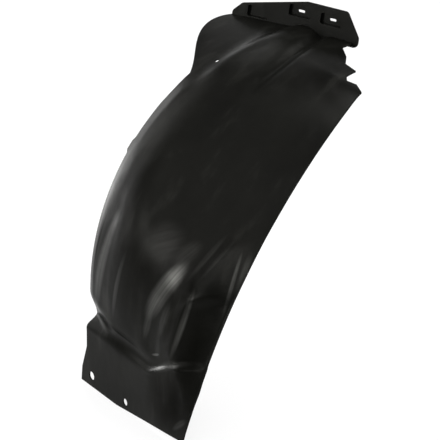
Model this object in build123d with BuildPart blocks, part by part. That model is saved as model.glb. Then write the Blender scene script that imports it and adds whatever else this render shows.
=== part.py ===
# Wheel arch liner: the front half of a car's wheel arch lining, one moulded plastic sheet.
# Millimetres, +X to the front of the car, +Y inboard, +Z up.
# The origin is the outer screw hole at the foot, on the front face of the foot panel.
from math import atan2, cos, exp, pi, radians, sin, sqrt
import os

from build123d import *

# Sheet and arch
wall = 2.5
arch_radius = 355.0
arch_width = 267.0
arch_angle = 100.0

# Foot panel, which stands proud of the arch in front
panel_proud = 8.0
panel_flat = 172.0
panel_round = 10.0
panel_turn = 0.12
foot_outer = 157.0
foot_middle = 162.0
foot_inner = 150.5
foot_kink = 85.0
foot_flare = 12.0
flare_drop = 95.0
joggle_depth = 12.0
joggle_length = 42.0
joggle_slope = 17.0
joggle_outer = 52.0
joggle_middle = 67.0
joggle_inner = 38.0

# Screw holes in the foot panel, heights below the wheel centre
screw_outer_radius = 7.0
screw_outer_side = 16.0
screw_outer_drop = 140.6
screw_inner_radius = 6.0
screw_inner_side = 108.6
screw_inner_drop = 148.0

# Inboard edge: a gentle bow from the foot to the top, seen from the side
edge_foot_x = 363.0
edge_foot_z = -149.0
edge_top_x = 42.0
edge_top_z = 347.0
edge_bow = 38.0
edge_lip = 6.0

# Tread strip outboard of the crest, and the side wall under the inboard shoulder
strip_width = 92.0
strip_foot = 52.0
strip_top = 36.0
strip_lean = 0.16
strip_round = 34.0
wall_share = 0.92
wall_width = 28.0
wall_round = 7.0
wall_pocket = 64.0
pocket_inset = 8.0
pocket_flare = 11.0
pocket_bead = 1.2
fold_side = 152.0
fold_slant = 0.45
fold_height = 2.2
fold_width = 30.0

# Outboard rim and the raised band beside it
rim_width = 8.0
rim_step = 2.0
band_width = 37.0
band_rise = 2.0

# Vertical channel in the front, above the joggle
channel_centre = 172.0
channel_width = 31.0
channel_depth = 2.0

# Top of the arch: roll and groove
roll_height = 6.0
roll_side = 13.0
roll_rise = 24.0
groove_depth = 6.0
groove_width = 11.0
groove_front = 104.0
groove_rear = 61.0

# Ear outboard of the top, as plan sizes from the wheel centre
ear_reach = 86.0
ear_front = 168.0
ear_peak = 67.0
ear_hole_radius = 3.5
ear_hole_angle = 68.5
ear_hole_side = 15.0
tab_angle = 40.0
tab_length = 14.0
tab_reach = 5.0

# End flange, standing up across the top of the arch
flange_start_x = 40.0
flange_start_y = -77.0
flange_turn = 25.2
flange_lean = 16.0
flange_length = 223.0
flange_low = 19.0
flange_high = 43.5
flange_hang = 10.0
pocket_depth = 6.0
pocket_height = 22.0
pocket_width = 42.0
slot_length = 12.0
slot_height = 4.0

# Stepped tail inboard of the flange
tail_x = 0.0
tail_y = 125.0

# Wheel centre, seen from the outer screw hole
hub = Vector(-arch_radius - panel_proud, -screw_outer_side, screw_outer_drop)


def ease(value, start, end):
    """Smooth step from 0 at start to 1 at end."""
    f = min(max((value - start) / (end - start), 0.0), 1.0)
    return f * f * (3 - 2 * f)


def hump(value, centre, width):
    """Smooth bump of height 1."""
    return exp(-(((value - centre) / width) ** 2))


# Circle of the inboard edge, from its two ends and its bow
edge_chord = sqrt((edge_top_x - edge_foot_x) ** 2 + (edge_top_z - edge_foot_z) ** 2)
edge_radius = (edge_chord**2 / 4 + edge_bow**2) / (2 * edge_bow)
edge_lean = atan2(edge_foot_x - edge_top_x, edge_top_z - edge_foot_z)
edge_centre_x = (edge_foot_x + edge_top_x) / 2 - (edge_radius - edge_bow) * cos(edge_lean)
edge_centre_z = (edge_foot_z + edge_top_z) / 2 - (edge_radius - edge_bow) * sin(edge_lean)


def edge_distance(s):
    """Distance of the inboard edge from the wheel axis, along the section at station s."""
    if s < 0:
        return edge_centre_x + sqrt(edge_radius**2 - (s - edge_centre_z) ** 2)
    a = s / arch_radius
    b = edge_centre_x * cos(a) + edge_centre_z * sin(a)
    return b + sqrt(b * b + edge_radius**2 - edge_centre_x**2 - edge_centre_z**2)


def groove_side(s):
    """How far across the arch the groove runs at station s."""
    f = (s / arch_radius - radians(64)) / radians(32)
    return groove_front + (groove_rear - groove_front) * min(max(f, 0.0), 1.1) ** 3


def ramp(y, start, round):
    """Rounded bend: flat before start, then rising at one in one."""
    bend = min(max(y - start + round, 0.0), 2 * round)
    return bend**2 / (4 * round) + max(y - start - round, 0.0)


def share_of_fall(y, start, end, round):
    """Share of a fall made at y by a slope with rounded ends, from the outboard to the inboard edge."""
    parts = [ramp(v, start, round) - ramp(v, end, round) for v in (max(y, 0.0), 0.0, arch_width)]
    return (parts[0] - parts[1]) / (parts[2] - parts[1])


def arch_height(s, y):
    """Height of the domed skin over a plain cylinder at station s."""
    inner = edge_distance(s) - arch_radius
    fall = (sqrt(inner * inner + 60) - inner) / 2 if s > 250 else -inner
    # tread strip, leaning outboard, then the wide face that falls to the inboard side
    lean = strip_lean * (1 - 0.8 * ease(s, 230, 420))
    crest = strip_foot + (strip_width - strip_foot) * ease(s, -90, 100)
    crest += (strip_top - strip_width) * ease(s, 90, 350)
    share = wall_share * (1 - ease(s, -60, 250))
    slope = share_of_fall(y, crest, 2 * arch_width, strip_round)
    h = lean * max(y, 0.0) - (lean * arch_width + (1 - share) * fall) * slope
    # side wall: steep at the front, with a pocket at its foot and a lip at its edge
    lip = edge_lip * (0.5 + 1.3 * ease(s, -20, 120)) * (1 - ease(s, 110, 240))
    corner = arch_width - wall_width - 14 * ease(s, wall_pocket - 10, wall_pocket + 80)
    pocket = ease(s, wall_pocket + 0.4 * (y - corner) + 10, wall_pocket + 0.4 * (y - corner) - 10)
    corner -= (pocket_inset + pocket_flare * ease(s, wall_pocket, -joggle_outer)) * pocket
    round = wall_round + 12 * ease(s, wall_pocket - 10, wall_pocket + 80)
    h -= share * fall * share_of_fall(y, corner, arch_width - lip, round)
    bead = pocket_bead * ease(s, wall_pocket + 25, wall_pocket - 25) * ease(s, -45, -20)
    h += bead * hump(y, corner - 5, 11)
    # soft fold that climbs from the channel towards the inboard edge
    fold = fold_side + fold_slant * s
    h += fold_height * hump(y, fold, fold_width) * ease(s, -20, 90) * ease(s, 260, 110)
    # raised band beside the rim, and the rim itself
    low = ease(s, -45, -5)
    h += band_rise * low * (1 - ease(s, 210, 330)) * ease(y, band_width + 13, band_width - 13)
    h -= rim_step * low * (1 - ease(s, 330, 390)) * ease(y, rim_width + 8, rim_width - 8)
    # channel down the front
    half = channel_width / 2
    channel = ease(y, channel_centre - half - 8, channel_centre - half + 8)
    channel *= ease(y, channel_centre + half + 8, channel_centre + half - 8)
    h -= channel_depth * channel * ease(s, 100, -10) * ease(s, -joggle_middle + 18, -joggle_middle + 32)
    # roll and groove over the top
    groove = groove_side(s)
    top = ease(s, 350, 430)
    h += roll_height * top * ease(y, roll_side, roll_side + roll_rise) * ease(y, groove, 0.5 * groove)
    return h - groove_depth * ease(s, 370, 520) * hump(y, groove, groove_width)


def joggle_level(y):
    """Level of the joggle: falling from the outboard edge, then rising into the side wall."""
    level = -joggle_outer - (joggle_middle - joggle_outer) * min(max(y, 0.0) / panel_flat, 1.0)
    return level + (joggle_middle - joggle_inner) * ease(y, panel_flat - 10, arch_width - 25)


def foot_height(s, y):
    """Height of the foot panel: flat, then turned back a little, then falling to the inboard edge."""
    edge = min(edge_distance(s) - arch_radius, panel_proud)
    slope = min(panel_turn, (panel_proud - edge) / (arch_width - panel_flat))
    fall = panel_proud - slope * ramp(arch_width, panel_flat, panel_round) - edge
    corner = min(arch_width - wall_width - 0.45 * (s + joggle_inner), arch_width - 9)
    plain = panel_proud - slope * ramp(y, panel_flat, panel_round)
    return plain - fall * share_of_fall(y, corner, 2 * arch_width, wall_round)


def height(s, y):
    """Height of the skin over a plain cylinder, with the joggle down to the foot panel."""
    joggle = joggle_level(y)
    if s > joggle + joggle_length + joggle_slope:
        return arch_height(s, y)
    half = joggle_slope * (1 - 0.4 * ease(y, panel_flat - 50, panel_flat)) / 2
    dip = joggle_depth * (1 - 0.72 * ease(y, 0, 80)) * (1 - 0.5 * ease(y, panel_flat - 50, panel_flat))
    dip *= 1 - ease(y, arch_width - 60, arch_width - 30)
    length = joggle_length * (1 - 0.5 * ease(y, 0, 80))
    upper = arch_height(s, y) - dip * ease(s, joggle + half + length, joggle + half)
    panel = foot_height(s, y)
    down = ease(s, joggle + half, joggle - half)
    return (upper * (1 - down) + panel * down) * ease(y, -80, -25)


def slant(s, y):
    """How much longer the wall is along the section than square to the sheet."""
    slope_y = (height(s, y + 1) - height(s, y - 1)) / 2
    slope_s = (height(s + 1, y) - height(s - 1, y)) / 2
    return sqrt(1 + slope_y**2 + slope_s**2)


def skin_point(s, y, depth):
    """Point of the sheet: level sections below the wheel centre, radial sections above it."""
    turn = max(s, 0.0) / arch_radius
    r = arch_radius + height(s, y) - depth * slant(s, y)
    return hub + Vector(r * cos(turn), y, r * sin(turn) + min(s, 0.0))


def skin_face(depth):
    """One face of the sheet, through a network of cross-sections and the two long edges."""
    rows = [[skin_point(s, y, depth) for s, y in cross_line(station)] for station in stations]
    sections = [Edge.make_spline(row, parameters=side_marks) for row in rows]
    edges = [Edge.make_spline([row[i] for row in rows], parameters=station_marks) for i in (0, -1)]
    return Face.make_gordon_surface(sections, edges)


def cross_line(s):
    """Places of one cross-section, drawn aside so that the lines follow the groove and the joggle."""
    middle = (groove_front + groove_rear) / 2
    places = []
    for y in side_lines:
        along = s + (joggle_level(y) + joggle_outer) * hump(s, -joggle_outer, 50)
        aside = (groove_side(s) - middle) * hump(y, middle, 62)
        places.append((along, y + aside if 0 < y < arch_width else y))
    return places


def paced(start, end, pace):
    """Places from start to end, each a pace on from the last, drawn in to end exactly."""
    places = [start]
    while places[-1] < end:
        places.append(places[-1] + pace(places[-1]))
    return [start + (v - start) * (end - start) / (places[-1] - start) for v in places]


def side_pace(y):
    """Lengthways lines stand closer at the rim, the groove, the channel and the side wall."""
    close = hump(y, 10, 25) + hump(y, (groove_front + groove_rear) / 2, 20) + hump(y, channel_centre, 28)
    return 16 - 9 * min(close + ease(y, channel_centre, arch_width - 2 * wall_width), 1.0)


def station_pace(s):
    """Cross-sections stand closer at the joggle and at the top of the side wall's pocket."""
    return 26 - 20 * hump(s, -joggle_outer, 58) - 15 * hump(s, wall_pocket, 58)


foot_depth = max(foot_outer, foot_middle, foot_inner) + 12
ear_margin = ear_reach + 14
side_lines = [-ear_margin, -0.6 * ear_margin, -0.25 * ear_margin] + paced(0, arch_width, side_pace)
side_marks = [(y + ear_margin) / (arch_width + ear_margin) for y in side_lines]
stations = paced(-foot_depth, arch_radius * radians(arch_angle), station_pace)
station_marks = [i / (len(stations) - 1) for i in range(len(stations))]

# Sheet: its two faces, and a narrow strip along each of the four edges
front_face = skin_face(0)
back_face = skin_face(wall)
strips = [
    Face.make_surface_from_curves(
        edge, min(back_face.edges(), key=lambda other: (other @ 0.5 - edge @ 0.5).length)
    )
    for edge in front_face.edges()
]
sheet = Solid(Shell([front_face, back_face] + strips))

flange_along = Vector(-sin(radians(flange_turn)), cos(radians(flange_turn)), 0)
flange_front = Vector(cos(radians(flange_turn)), sin(radians(flange_turn)), 0)
flange_out = flange_front * cos(radians(flange_lean)) + Vector(0, 0, sin(radians(flange_lean)))
flange_foot = hub + Vector(flange_start_x, flange_start_y, arch_radius)
flange_plane = Plane(origin=flange_foot, x_dir=flange_along, z_dir=flange_out)
flange_end = Vector(flange_start_x, flange_start_y) + flange_along * flange_length

with BuildPart() as liner:
    add(sheet)

    # Outboard edge: the sheet ends at the arch, except for the ear and a small tab
    tab_x = arch_radius * cos(radians(tab_angle))
    with BuildSketch(Plane(origin=hub - Vector(0, 0, flare_drop))):
        with BuildLine():
            ear = Spline(
                (ear_front, -0.6 * tab_reach),
                (0.78 * ear_front, -0.5 * ear_reach),
                (ear_peak, -ear_reach),
                (flange_start_x, flange_start_y),
                tangents=((-0.8, -0.6), (-0.8, 0.6)),
            )
            Polyline(
                ear @ 1,
                (flange_start_x - ear_reach, flange_start_y),
                (flange_start_x - ear_reach, -2 * ear_margin),
                (2 * arch_radius, -2 * ear_margin),
                (2 * arch_radius, 3),
                (arch_radius, 3),
                (tab_x + tab_length, 0),
                (tab_x + 0.7 * tab_length, -tab_reach),
                (tab_x, -tab_reach),
                (tab_x - 0.3 * tab_length, -0.4 * tab_reach),
                (0.5 * (tab_x + ear_front), -tab_reach),
                ear @ 0,
            )
        make_face()
    extrude(amount=2 * arch_radius, mode=Mode.SUBTRACT)

    # Foot: the outboard edge flares out and the lower edge has a slight kink
    with BuildSketch(Plane(origin=hub, x_dir=(0, 1, 0), z_dir=(1, 0, 0))):
        with BuildLine():
            Polyline(
                (3, -flare_drop),
                (-0.8 * foot_flare, -flare_drop - 38),
                (-foot_flare, -foot_outer),
                (foot_kink, -foot_middle),
                (arch_width + 20, -foot_inner),
                (arch_width + 20, -2 * foot_depth),
                (-2 * ear_margin, -2 * foot_depth),
                (-2 * ear_margin, -flare_drop),
                close=True,
            )
        make_face()
    extrude(amount=2 * arch_radius, mode=Mode.SUBTRACT)

    # Rear end: cut along the flange, then stepped forward to the inboard edge
    flange_middle = flange_front * (-wall / 2 - 3)
    cut_start = Vector(flange_start_x, flange_start_y) - flange_along * ear_margin + flange_middle
    cut_end = Vector(flange_start_x, flange_start_y) + flange_along * (flange_length - 8) + flange_middle
    with BuildSketch(Plane(origin=hub)):
        with BuildLine():
            Polyline(
                (cut_start.X, cut_start.Y),
                (cut_end.X, cut_end.Y),
                (tail_x - 26, tail_y),
                (tail_x - 10, tail_y + 34),
                (tail_x + 6, tail_y + 55),
                (tail_x + 8, tail_y + 85),
                (tail_x + 27, tail_y + 88),
                (tail_x + 34, tail_y + 99),
                (tail_x + 31, tail_y + 120),
                (edge_top_x - 5, arch_width),
                (edge_top_x - 5, arch_width + 20),
                (-arch_radius, arch_width + 20),
                (-arch_radius, cut_start.Y),
                close=True,
            )
        make_face()
    extrude(amount=2 * arch_radius, mode=Mode.SUBTRACT)

    # End flange: a plate that stands up across the arch
    with BuildSketch(flange_plane) as flange_outline:
        with BuildLine():
            Polyline(
                (0, -flange_hang),
                (0, 4),
                (0.07 * flange_length, flange_low),
                (0.57 * flange_length, flange_high),
                (0.89 * flange_length, 0.98 * flange_high),
                (flange_length, 6),
                (flange_length, -flange_hang),
                close=True,
            )
        make_face()
        fillet(flange_outline.vertices(), 8)
    extrude(amount=-wall)

    # Pockets in the flange, each a shallow tray behind it
    pocket_mid = 0.34 * flange_high + pocket_height / 2
    pocket_places = [(0.2 * flange_length, pocket_mid - 16), (0.52 * flange_length, pocket_mid)]
    pocket_places += [(0.77 * flange_length, pocket_mid - 2)]
    with BuildSketch(flange_plane):
        with Locations(*pocket_places):
            RectangleRounded(pocket_width, pocket_height, 5)
    extrude(amount=-wall - pocket_depth)
    with BuildSketch(flange_plane):
        with Locations(*pocket_places):
            RectangleRounded(pocket_width - 2 * wall, pocket_height - 2 * wall, 5 - wall)
    extrude(amount=-pocket_depth, mode=Mode.SUBTRACT)
    with BuildSketch(flange_plane):
        with Locations(*pocket_places[1:]):
            SlotOverall(slot_length, slot_height)
    extrude(amount=-2 * (wall + pocket_depth), mode=Mode.SUBTRACT)

    # Screw holes in the foot panel, and a small hole at the root of the ear
    with BuildSketch(Plane(origin=hub, x_dir=(0, 1, 0), z_dir=(1, 0, 0))):
        with Locations((screw_outer_side, -screw_outer_drop)):
            Circle(screw_outer_radius)
        with Locations((screw_inner_side, -screw_inner_drop)):
            Circle(screw_inner_radius)
    extrude(amount=2 * arch_radius, mode=Mode.SUBTRACT)
    hole_turn = radians(ear_hole_angle)
    with BuildSketch(Plane(origin=hub, x_dir=(0, 1, 0), z_dir=(cos(hole_turn), 0, sin(hole_turn)))):
        with Locations((ear_hole_side, 0)):
            Circle(ear_hole_radius)
    extrude(amount=2 * arch_radius, mode=Mode.SUBTRACT)

liner.part.label = "liner"
os.makedirs("parts", exist_ok=True)
export_step(liner.part, "parts/liner.step")
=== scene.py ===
from math import radians

import bmesh
import bpy
from mathutils import Matrix, Vector


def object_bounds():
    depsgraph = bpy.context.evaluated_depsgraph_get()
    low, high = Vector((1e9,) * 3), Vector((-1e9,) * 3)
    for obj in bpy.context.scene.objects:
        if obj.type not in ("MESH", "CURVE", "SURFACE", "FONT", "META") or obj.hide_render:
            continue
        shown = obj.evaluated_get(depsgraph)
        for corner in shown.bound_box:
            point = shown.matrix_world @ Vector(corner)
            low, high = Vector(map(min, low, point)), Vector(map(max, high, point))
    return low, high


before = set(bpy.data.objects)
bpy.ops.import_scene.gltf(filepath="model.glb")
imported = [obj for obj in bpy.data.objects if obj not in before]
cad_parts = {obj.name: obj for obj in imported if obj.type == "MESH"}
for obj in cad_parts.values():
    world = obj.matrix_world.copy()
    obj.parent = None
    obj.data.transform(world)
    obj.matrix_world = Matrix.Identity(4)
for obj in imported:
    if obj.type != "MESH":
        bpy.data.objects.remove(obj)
cad_low, cad_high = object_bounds()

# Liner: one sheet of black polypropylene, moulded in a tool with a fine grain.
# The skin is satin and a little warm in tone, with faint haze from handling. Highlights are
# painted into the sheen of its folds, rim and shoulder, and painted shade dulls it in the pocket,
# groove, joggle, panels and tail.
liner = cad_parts["liner"]
plastic = bpy.data.materials.new("satin_black_polypropylene")
plastic.use_nodes = True
nodes = plastic.node_tree.nodes
links = plastic.node_tree.links
skin = nodes["Principled BSDF"]
skin.inputs["Specular Tint"].default_value = (1.0, 1.0, 0.93, 1)
skin.inputs["IOR"].default_value = 1.5
on_sheet = nodes.new("ShaderNodeTexCoord").outputs["Object"]


def mottle(place, scale, detail, roughness=0.5):
    """Soft noise over the sheet, from 0 to 1."""
    noise = nodes.new("ShaderNodeTexNoise")
    noise.inputs["Scale"].default_value = scale
    noise.inputs["Detail"].default_value = detail
    noise.inputs["Roughness"].default_value = roughness
    links.new(place, noise.inputs["Vector"])
    return noise.outputs["Fac"]


def spread(value, low, high, to_low=0.0, to_high=1.0, curve="LINEAR"):
    """Takes a value from one range to another, and holds it at both ends."""
    reach = nodes.new("ShaderNodeMapRange")
    reach.interpolation_type = curve
    reach.inputs["From Min"].default_value = low
    reach.inputs["From Max"].default_value = high
    reach.inputs["To Min"].default_value = to_low
    reach.inputs["To Max"].default_value = to_high
    links.new(value, reach.inputs["Value"])
    return reach.outputs["Result"]


def worked(operation, *values):
    """Sum or product of sockets and plain numbers."""
    sum_node = nodes.new("ShaderNodeMath")
    sum_node.operation = operation
    for socket, value in zip(sum_node.inputs, values):
        if isinstance(value, float):
            socket.default_value = value
        else:
            links.new(value, socket)
    return sum_node.outputs["Value"]


# the tone drifts slowly over the sheet
tone = nodes.new("ShaderNodeValToRGB")
tone.color_ramp.elements[0].position = 0.32
tone.color_ramp.elements[0].color = (0.0024, 0.0024, 0.0020, 1)
tone.color_ramp.elements[1].position = 0.72
tone.color_ramp.elements[1].color = (0.0046, 0.0046, 0.0038, 1)
links.new(mottle(on_sheet, scale=9.0, detail=5.0, roughness=0.55), tone.inputs["Fac"])

# pale haze of dust and handling, drawn out along the arch
stretch = nodes.new("ShaderNodeMapping")
stretch.inputs["Scale"].default_value = (14.0, 34.0, 6.0)
stretch.inputs["Rotation"].default_value = (0.0, radians(24), radians(12))
links.new(on_sheet, stretch.inputs["Vector"])
haze = mottle(stretch.outputs["Vector"], scale=1.0, detail=7.0, roughness=0.62)
dusted = nodes.new("ShaderNodeMix")
dusted.data_type = "RGBA"
dusted.inputs["B"].default_value = (0.017, 0.017, 0.0148, 1)
links.new(spread(haze, 0.56, 0.78, to_high=0.5), dusted.inputs["Factor"])
links.new(tone.outputs["Color"], dusted.inputs["A"])
links.new(dusted.outputs["Result"], skin.inputs["Base Color"])

# the roughness changes in small patches
patch = mottle(on_sheet, scale=42.0, detail=4.0)
links.new(spread(patch, 0.3, 0.75, to_low=0.29, to_high=0.37), skin.inputs["Roughness"])

# moulded grain, with a soft waviness from the sheet cooling in its tool
grain_bump = nodes.new("ShaderNodeBump")
grain_bump.inputs["Strength"].default_value = 0.12
grain_bump.inputs["Distance"].default_value = 0.0003
links.new(mottle(on_sheet, scale=900.0, detail=2.0), grain_bump.inputs["Height"])
wave_bump = nodes.new("ShaderNodeBump")
wave_bump.inputs["Strength"].default_value = 0.25
wave_bump.inputs["Distance"].default_value = 0.002
links.new(mottle(on_sheet, scale=22.0, detail=2.0), wave_bump.inputs["Height"])
links.new(grain_bump.outputs["Normal"], wave_bump.inputs["Normal"])
links.new(wave_bump.outputs["Normal"], skin.inputs["Normal"])


def mark(name, start, end, facing, width, streaks):
    """Share, 0 to 1, of a long soft mark of painted highlight or painted shade that lies on the sheet
    from start to end, in mm.
    """
    start, end = Vector(start) / 1000, Vector(end) / 1000
    half_depth = 0.03
    full_from = 0.7
    hairs_along, hairs_deep = 0.7, 0.3
    faintest_hair = 0.4
    along = (end - start).normalized()
    out = Vector(facing)
    out = (out - along * out.dot(along)).normalized()
    lie = nodes.new("ShaderNodeMapping")
    lie.label = name
    lie.vector_type = "TEXTURE"
    lie.inputs["Location"].default_value = (start + end) / 2
    lie.inputs["Rotation"].default_value = Matrix((along, out.cross(along), out)).transposed().to_euler()
    lie.inputs["Scale"].default_value = ((end - start).length / 2, width / 2000, half_depth)
    links.new(on_sheet, lie.inputs["Vector"])
    ball = nodes.new("ShaderNodeTexGradient")
    ball.gradient_type = "SPHERICAL"
    links.new(lie.outputs["Vector"], ball.inputs["Vector"])
    soft = spread(ball.outputs["Fac"], 0.0, full_from, curve="SMOOTHSTEP")
    comb = nodes.new("ShaderNodeMapping")
    comb.inputs["Scale"].default_value = (hairs_along, streaks, hairs_deep)
    links.new(lie.outputs["Vector"], comb.inputs["Vector"])
    hair = mottle(comb.outputs["Vector"], scale=1.0, detail=4.0)
    return worked("MULTIPLY", soft, spread(hair, 0.3, 0.65, to_low=faintest_hair))


# painted highlights and painted shade in the sheen, each a long mark: both ends in mm, the way the sheet
# faces there, the width in mm, the streaks across it, and what it adds to the sheen
painted_highlight_and_shade = 0.0
for name, start, end, facing, width, streaks, gain in (
    ("fold on the front", (-4, 140, 146), (-58, 187, 256), (0.9, 0.26, 0.38), 42, 5, 0.96),
    ("upper end of the fold", (-40, 166, 236), (-82, 186, 282), (0.7, 0.31, 0.64), 38, 5, 0.13),
    ("shoulder", (-40, 34, 312), (-204, 20, 460), (0.65, 0.1, 0.75), 64, 1, 0.06),
    ("roll", (-170, 16, 438), (-336, -2, 504), (0.35, 0.0, 0.93), 46, 1, 0.07),
    ("painted sheen above the fold", (-26, 102, 244), (-68, 164, 288), (0.7, 0.3, 0.6), 78, 5, 0.115),
    ("inboard streak", (-10, 174, 130), (-20, 186, 200), (0.95, 0.2, 0.1), 20, 3, 0.15),
    ("outboard streak", (-12, 152, 178), (0, 138, 112), (0.95, 0.2, 0.1), 18, 3, 0.2),
    ("edge of the pocket", (-8, 201, 100), (-46, 218, 226), (0.6, 0.8, 0.1), 13, 1, 0.55),
    ("painted shade beside the pocket", (-13, 185, 118), (-29, 194, 208), (0.9, 0.4, 0.1), 24, 1, -0.045),
    ("painted shade above the pocket", (-28, 200, 186), (-52, 204, 242), (0.8, 0.5, 0.3), 40, 1, -0.045),
    ("ledge", (2, 158, 74), (-20, 240, 114), (0.9, 0.0, 0.4), 18, 1, 0.2),
    ("small mark above the ledge", (-7, 156, 97), (-7, 178, 106), (0.9, 0.0, 0.4), 5, 1, 0.6),
    ("painted shade in the pocket", (-10, 222, 50), (-45, 240, 220), (0.55, 0.8, 0.2), 70, 1, -0.058),
    ("band beside the rim", (-36, 38, 300), (-1, 10, 112), (0.97, -0.1, 0.2), 31, 2, 0.4),
    ("painted dark line inside the rim", (-34, 8, 292), (-4, -4, 150), (0.97, -0.1, 0.2), 7, 1, -0.05),
    ("line down the front", (-14, 82, 250), (1, 59, 115), (0.99, 0.1, 0.1), 13, 1, 0.17),
    ("upper crease", (-40, 197, 222), (-118, 207, 296), (0.55, 0.65, 0.5), 11, 1, 0.12),
    ("lower crease", (-40, 209, 214), (-140, 222, 304), (0.5, 0.7, 0.5), 7, 1, 0.05),
    ("line inside the lip", (-123, 232, 275), (-75, 246, 176), (0.4, 0.85, 0.3), 8, 1, 0.28),
    ("inboard lip", (-134, 243, 276), (-94, 252, 198), (0.66, 0.64, 0.4), 16, 1, 0.16),
    ("curl at the inboard corner", (-2, 218, -4), (-9, 250, 24), (0.9, 0.4, 0.1), 14, 2, 0.16),
    ("painted shade on the joggle", (-7, -46, 106), (-7, 150, 76), (1.0, 0.0, 0.1), 66, 1, -0.04),
    ("painted shade on the inboard panel", (-4, 208, -24), (-4, 200, 106), (1.0, 0.1, 0.0), 104, 1, -0.045),
    ("painted shade on the front above the joggle", (-2, 104, 84), (-8, 110, 214), (1.0, 0.1, 0.1), 70, 1, -0.012),
    ("painted shade on the panel", (-2, -40, 20), (-2, 190, 20), (1.0, 0.0, 0.0), 170, 1, -0.015),
    ("painted shade in the crease of the joggle", (-4, 6, 113), (-4, 166, 91), (1.0, 0.0, 0.1), 14, 1, -0.034),
    ("painted shade in the groove", (-218, 92, 441), (-360, 82, 502), (0.35, -0.05, 0.93), 28, 1, -0.045),
    ("painted shade on the tail", (-334, 124, 494), (-292, 262, 460), (0.58, 0.05, 0.81), 66, 1, -0.034),
):
    painted_highlight_and_shade = worked("MULTIPLY_ADD", mark(name, start, end, facing, width, streaks), gain, painted_highlight_and_shade)

# painted highlight along the outboard rim's edge, from the joggle up to the ear
sides = nodes.new("ShaderNodeSeparateXYZ")
links.new(on_sheet, sides.inputs["Vector"])
rim = 1.0
for side, none_at, full_at in (
    ("Y", 0.0, -0.009),  # outboard of the outer screw
    ("Y", -0.022, -0.018),  # but not as far out as the ear
    ("Z", 0.08, 0.13),  # above the joggle
    ("Z", 0.38, 0.22),  # below the top
):
    rim = worked("MULTIPLY", rim, spread(sides.outputs[side], none_at, full_at, curve="SMOOTHSTEP"))
rim_gain = 0.24
# painted highlights and painted shade, added on top of the random satin sheen
painted_sheen = worked("MULTIPLY_ADD", rim, rim_gain, painted_highlight_and_shade)
satin = spread(haze, 0.42, 0.68, to_low=0.057, to_high=0.067)
links.new(worked("ADD", painted_sheen, satin), skin.inputs["Specular IOR Level"])
for slot in liner.material_slots:
    slot.material = plastic

# Floor: a plain pale sheet that the liner's foot stands on.
# It runs far past the picture on every side.
floor_half = 12
floor_gap = 0.0005
floor_shape = bmesh.new()
bmesh.ops.create_grid(floor_shape, x_segments=1, y_segments=1, size=floor_half)
bmesh.ops.translate(floor_shape, verts=floor_shape.verts, vec=(0, 0, cad_low[2] - floor_gap))
floor_mesh = bpy.data.meshes.new("floor")
floor_shape.to_mesh(floor_mesh)
floor_shape.free()
floor = bpy.data.objects.new("floor", floor_mesh)
bpy.context.scene.collection.objects.link(floor)
paper = bpy.data.materials.new("pale_floor")
paper.use_nodes = True
paper_nodes = paper.node_tree.nodes
paper_links = paper.node_tree.links
paper_skin = paper_nodes["Principled BSDF"]
paper_skin.inputs["Base Color"].default_value = (0.93, 0.93, 0.93, 1)
paper_skin.inputs["Roughness"].default_value = 0.9
paper_skin.inputs["Specular IOR Level"].default_value = 0.0

# it is bleached where it is seen or mirrored, and keeps a little of the liner's shadow
bleached_share = 0.8
white = paper_nodes.new("ShaderNodeEmission")
seen = paper_nodes.new("ShaderNodeLightPath")
seen_or_mirrored = paper_nodes.new("ShaderNodeMath")
seen_or_mirrored.operation = "MAXIMUM"
paper_links.new(seen.outputs["Is Camera Ray"], seen_or_mirrored.inputs[0])
paper_links.new(seen.outputs["Is Glossy Ray"], seen_or_mirrored.inputs[1])
seen_at_all = paper_nodes.new("ShaderNodeMath")
seen_at_all.operation = "MAXIMUM"
paper_links.new(seen_or_mirrored.outputs["Value"], seen_at_all.inputs[0])
paper_links.new(seen.outputs["Is Transmission Ray"], seen_at_all.inputs[1])
share = paper_nodes.new("ShaderNodeMath")
share.operation = "MULTIPLY"
share.inputs[1].default_value = bleached_share
paper_links.new(seen_at_all.outputs["Value"], share.inputs[0])
bleach = paper_nodes.new("ShaderNodeMixShader")
paper_links.new(share.outputs["Value"], bleach.inputs["Fac"])
paper_links.new(paper_skin.outputs["BSDF"], bleach.inputs[1])
paper_links.new(white.outputs["Emission"], bleach.inputs[2])
paper_links.new(bleach.outputs["Shader"], paper_nodes["Material Output"].inputs["Surface"])
floor_mesh.materials.append(paper)

# Studio light: a broad soft box above and behind lights the floor and the top of the
# sheet. Smaller ones stand round the front and at both sides, each where one stretch
# of the sheet mirrors it. The room is dim, and paler overhead.
middle = (Vector(cad_low) + Vector(cad_high)) / 2


def soft_box(name, towards, distance, width, height, power):
    """Area lamp that stands off in one direction and faces the liner's middle."""
    lamp = bpy.data.lights.new(name, "AREA")
    lamp.shape = "RECTANGLE"
    lamp.size = width
    lamp.size_y = height
    lamp.energy = power
    stand = bpy.data.objects.new(name, lamp)
    stand.location = middle + Vector(towards).normalized() * distance
    stand.rotation_euler = (middle - stand.location).to_track_quat("-Z", "Y").to_euler()
    bpy.context.scene.collection.objects.link(stand)


# floor, and the whole of the dome
soft_box("back_box", (-0.45, 0.25, 0.86), 2.6, 2.0, 2.0, 70)
soft_box("front_top_box", (0.66, 0.10, 0.75), 2.4, 1.5, 1.5, 14)

# rim, and the band beside it
soft_box("left_strip", (0.12, -0.96, 0.22), 2.2, 0.7, 1.5, 18)
soft_box("left_edge", (0.39, -0.92, 0.08), 2.2, 0.3, 0.9, 16)
soft_box("left_top_box", (0.34, -0.80, 0.46), 2.4, 1.4, 0.9, 5)

# front of the arch, with its fold
soft_box("low_left_box", (0.78, -0.60, 0.20), 2.4, 0.8, 0.7, 7.5)
soft_box("front_box", (0.90, -0.17, 0.40), 2.2, 0.35, 0.6, 8)

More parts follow.
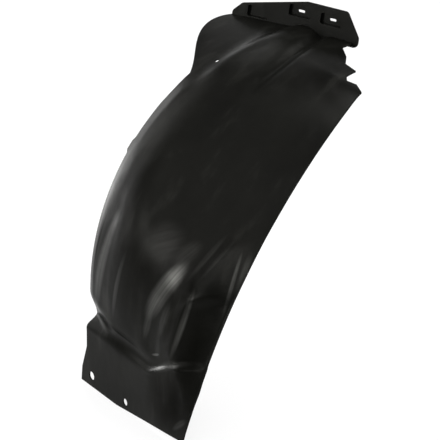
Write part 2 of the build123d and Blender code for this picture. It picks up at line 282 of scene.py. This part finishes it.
# shoulder, top, roll and ear
soft_box("shoulder_box", (0.43, -0.64, 0.64), 2.4, 0.6, 1.2, 12)
soft_box("far_left_box", (-0.42, -0.81, 0.41), 2.4, 0.8, 0.7, 3.2)
soft_box("top_box", (0.22, -0.22, 0.95), 2.4, 1.0, 1.0, 4)
soft_box("ear_root_box", (-0.27, -0.95, 0.16), 2.4, 0.6, 0.35, 1.5)
soft_box("roll_strip", (-0.15, -0.40, 0.90), 2.2, 0.3, 1.0, 8)
soft_box("ear_box", (-0.10, -0.80, 0.60), 2.4, 1.4, 1.0, 2.2)

# side wall with its lip, and the corner where the front meets it
soft_box("right_box", (0.62, 0.66, 0.42), 2.4, 1.6, 0.6, 22)
soft_box("front_strip", (1.0, -0.04, 0.06), 2.4, 0.2, 1.0, 6)

room = bpy.data.worlds.new("room")
room.use_nodes = True
room_nodes = room.node_tree.nodes
room_links = room.node_tree.links
towards_sky = room_nodes.new("ShaderNodeTexCoord")
split = room_nodes.new("ShaderNodeSeparateXYZ")
room_links.new(towards_sky.outputs["Generated"], split.inputs["Vector"])
overhead = room_nodes.new("ShaderNodeMapRange")
overhead.inputs["From Min"].default_value = 0.0
overhead.inputs["From Max"].default_value = 0.9
overhead.inputs["To Min"].default_value = 0.06
overhead.inputs["To Max"].default_value = 0.42
room_links.new(split.outputs["Z"], overhead.inputs["Value"])
room_links.new(overhead.outputs["Result"], room_nodes["Background"].inputs["Strength"])
bpy.context.scene.world = room
bpy.context.scene.view_settings.view_transform = "Standard"

# Camera: a long lens far off, so that the sheet is seen nearly without perspective.
# It stands about 56 degrees round from the front, on the inboard side, and 25 degrees up.
camera_data = bpy.data.cameras.new("camera")
camera_data.sensor_width = 36
camera_data.lens = 739.5
camera = bpy.data.objects.new("camera", camera_data)
aim = Vector((-0.289, -0.076, 0.159))
view_from = Vector((0.507, 0.751, 0.4226)).normalized()
stand_off = 14
camera.location = aim + view_from * stand_off
camera.rotation_euler = (-view_from).to_track_quat("-Z", "Y").to_euler()
bpy.context.scene.collection.objects.link(camera)
bpy.context.scene.camera = camera
